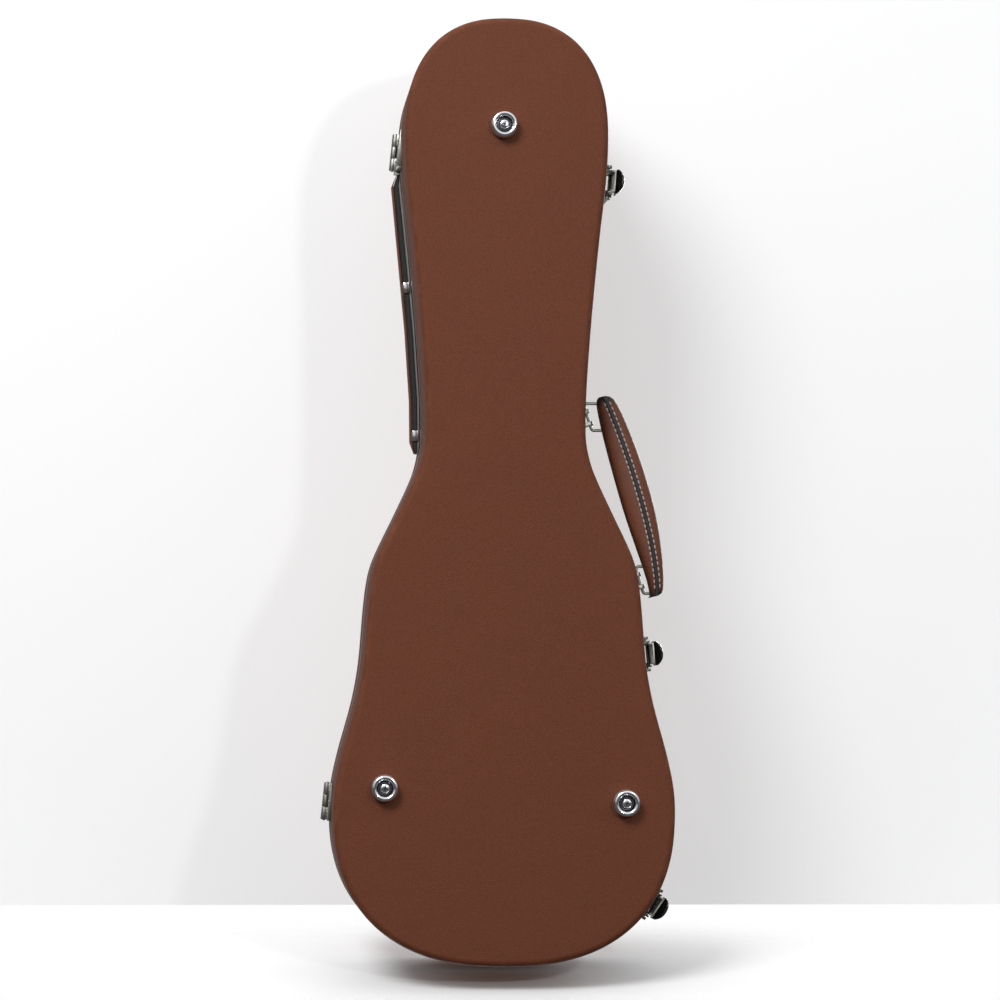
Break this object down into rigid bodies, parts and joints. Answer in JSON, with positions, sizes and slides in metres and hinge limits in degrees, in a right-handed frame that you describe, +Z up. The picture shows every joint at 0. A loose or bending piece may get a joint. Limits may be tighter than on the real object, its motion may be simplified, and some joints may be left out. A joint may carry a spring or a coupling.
{
  "type": "ukulele case",
  "caption": "Shaped hard case for a ukulele: brown body and hinged lid, draw latches on one side, leather handle, chrome feet, plush padding and an accessory box.",
  "frame": {"origin": "on the surface that the feet stand on, under the middle of the case's box", "axes": "+Z up from the feet to the lid, +Y from the tail end to the head end, +X to the hinge side"},
  "size_m": [0.2442, 0.66, 0.118],
  "materials": {
    "leatherette": "fine-grained brown leatherette over plywood",
    "handle_leather": "brown leather",
    "welt_leather": "dark leather",
    "plush": "black plush",
    "ribbon": "woven ribbon",
    "chrome": "polished",
    "nickel": "nickel plated",
    "satin_metal": "satin",
    "black_lacquer": "black lacquer",
    "black_rubber": "matte black"
  },
  "bodies": {
    "case_body": {"back_panel": "leatherette", "body_rim": "leatherette", "body_valance": "satin_metal", "seam_gasket": "black_rubber", "foot_head": "chrome", "foot_left": "chrome", "foot_right": "chrome", "foot_head_screw": "chrome", "foot_left_screw": "chrome", "foot_right_screw": "chrome", "floor_pad": "plush", "rim_padding": "plush", "neck_cradle": "plush", "compartment_end_wall": "plush", "compartment_deck": "plush", "hinge_lower_body_leaf": "nickel", "hinge_head_body_leaf": "nickel", "hinge_lower_pin": "nickel", "hinge_head_pin": "nickel", "handle_bracket_lower": "nickel", "handle_bracket_upper": "nickel", "latch_head_base": "nickel", "latch_middle_base": "nickel", "latch_tail_base": "nickel"},
    "lid": {"lid_panel": "leatherette", "lid_rim": "leatherette", "lid_valance": "black_lacquer", "lid_lining": "plush", "hinge_lower_lid_leaf": "nickel", "hinge_head_lid_leaf": "nickel", "edge_guard": "black_rubber", "edge_guard_backing": "satin_metal", "edge_guard_facing": "handle_leather", "edge_guard_clip_lower": "chrome", "edge_guard_clip_upper": "chrome", "latch_head_keeper": "nickel", "latch_middle_keeper": "nickel", "latch_tail_keeper": "nickel"},
    "handle": {"handle_grip": "handle_leather", "handle_welt": "welt_leather", "handle_loop_lower": "nickel", "handle_loop_upper": "nickel"},
    "compartment_flap": {"compartment_flap": "plush", "flap_pull_tab": "ribbon"},
    "latch_head_lever": {"latch_head_lever": "nickel", "latch_head_lever_cover": "black_lacquer"},
    "latch_head_hasp": {"latch_head_hasp": "nickel"},
    "latch_middle_lever": {"latch_middle_lever": "nickel", "latch_middle_lever_cover": "black_lacquer"},
    "latch_middle_hasp": {"latch_middle_hasp": "nickel"},
    "latch_tail_lever": {"latch_tail_lever": "nickel", "latch_tail_lever_cover": "black_lacquer"},
    "latch_tail_hasp": {"latch_tail_hasp": "nickel"}
  },
  "joints": [
    {"name": "lid_hinge", "type": "hinge", "parent": "case_body", "child": "lid", "pos_m": [0.09545, 0.0135, 0.084], "axis": [-0.0994, 0.995, 0], "range_deg": [0, 105]},
    {"name": "handle_swing", "type": "hinge", "parent": "case_body", "child": "handle", "pos_m": [-0.08263, -0.00414, 0.052], "axis": [-0.3054, -0.9522, 0], "range_deg": [-60, 60]},
    {"name": "compartment_flap_hinge", "type": "hinge", "parent": "case_body", "child": "compartment_flap", "pos_m": [-0.00306, 0.0606, 0.0543], "axis": [-1, 0, 0], "range_deg": [0, 95]},
    {"name": "latch_head_lever_turn", "type": "hinge", "parent": "case_body", "child": "latch_head_lever", "pos_m": [-0.08123, 0.22244, 0.072], "axis": [-0.0726, 0.9974, 0], "range_deg": [0, 120]},
    {"name": "latch_head_hasp_turn", "type": "hinge", "parent": "latch_head_lever", "child": "latch_head_hasp", "pos_m": [-0.07924, 0.22259, 0.064], "axis": [-0.0726, 0.9974, 0], "range_deg": [-120, 0]},
    {"name": "latch_middle_lever_turn", "type": "hinge", "parent": "case_body", "child": "latch_middle_lever", "pos_m": [-0.10918, -0.11299, 0.072], "axis": [0.0916, 0.9958, 0], "range_deg": [0, 120]},
    {"name": "latch_middle_hasp_turn", "type": "hinge", "parent": "latch_middle_lever", "child": "latch_middle_hasp", "pos_m": [-0.10719, -0.11317, 0.064], "axis": [0.0916, 0.9958, 0], "range_deg": [-120, 0]},
    {"name": "latch_tail_lever_turn", "type": "hinge", "parent": "case_body", "child": "latch_tail_lever", "pos_m": [-0.11278, -0.29024, 0.072], "axis": [-0.5396, 0.8419, 0], "range_deg": [0, 120]},
    {"name": "latch_tail_hasp_turn", "type": "hinge", "parent": "latch_tail_lever", "child": "latch_tail_hasp", "pos_m": [-0.11109, -0.28916, 0.064], "axis": [-0.5396, 0.8419, 0], "range_deg": [-120, 0]}
  ],
  "couplings": [
    {"joint": "latch_head_hasp_turn", "follows": "latch_head_lever_turn", "ratio": -1},
    {"joint": "latch_middle_hasp_turn", "follows": "latch_middle_lever_turn", "ratio": -1},
    {"joint": "latch_tail_hasp_turn", "follows": "latch_tail_lever_turn", "ratio": -1}
  ]
}
